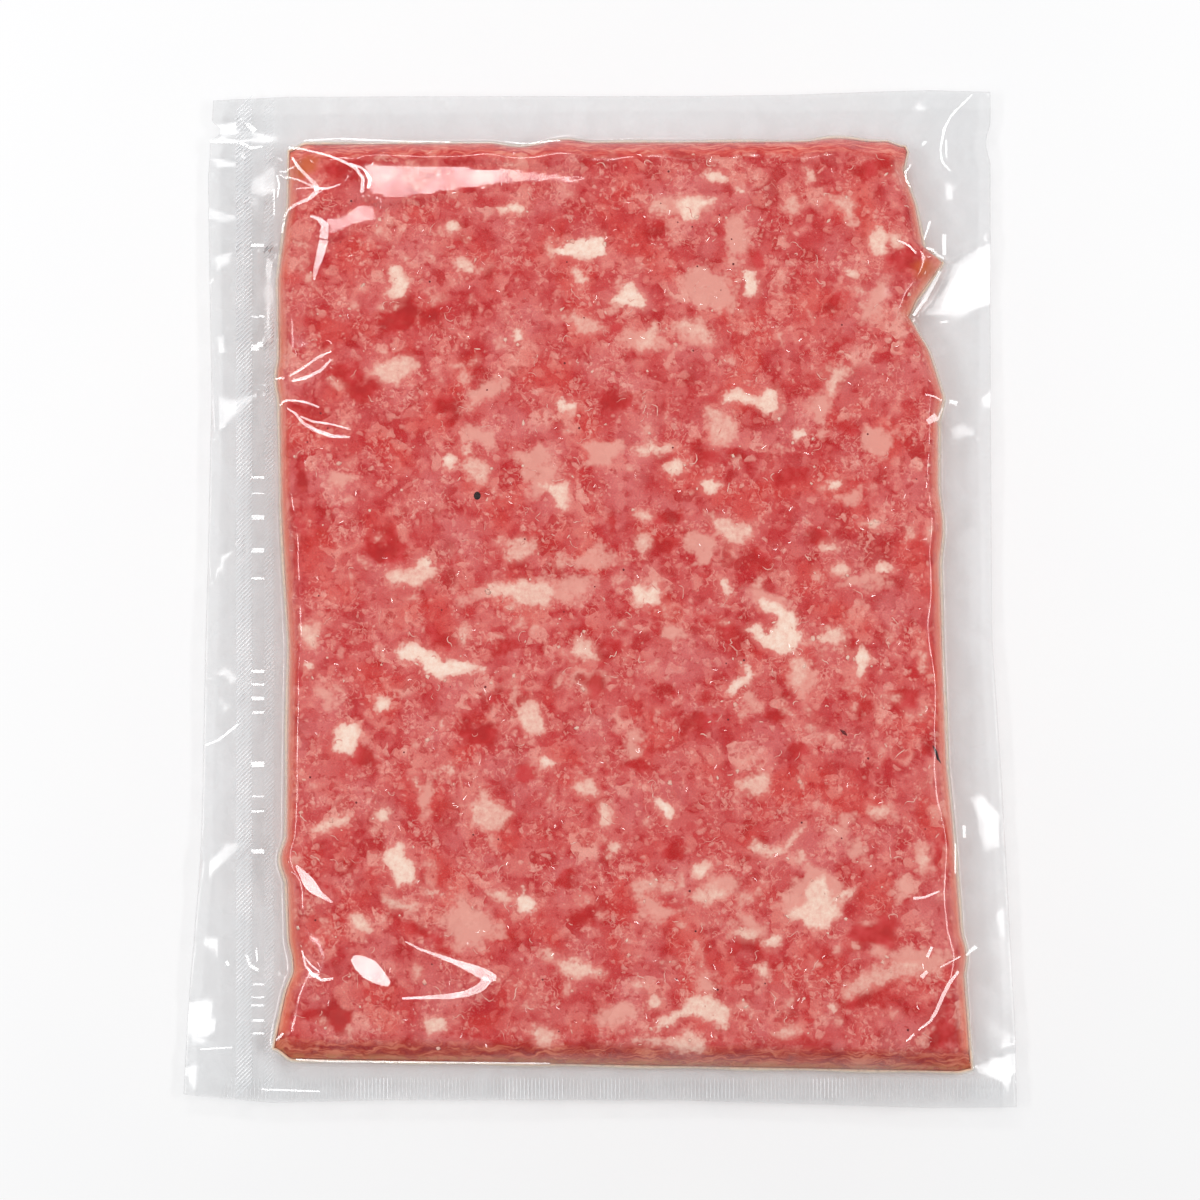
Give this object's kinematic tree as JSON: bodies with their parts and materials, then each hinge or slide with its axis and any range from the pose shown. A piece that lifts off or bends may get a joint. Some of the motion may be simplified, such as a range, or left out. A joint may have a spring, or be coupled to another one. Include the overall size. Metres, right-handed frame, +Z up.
{
  "type": "vacuum-packed ground turkey",
  "caption": "Flat clear vacuum pouch drawn tight round a rectangular block of raw ground meat, with a thin sealed film rim all round.",
  "frame": {"origin": "middle of the pouch's footprint, on the surface that the pack lies on", "axes": "+Z up out of the shown face, +Y along the pack towards its top end, +X across it towards the side with the plain rim"},
  "size_m": [0.2034, 0.2572, 0.0142],
  "materials": {
    "pack": "gloss",
    "mince": "satin",
    "fat": "satin",
    "film": "gloss"
  },
  "bodies": {
    "root": {"vacuum_pack": "pack"}
  },
  "joints": []
}
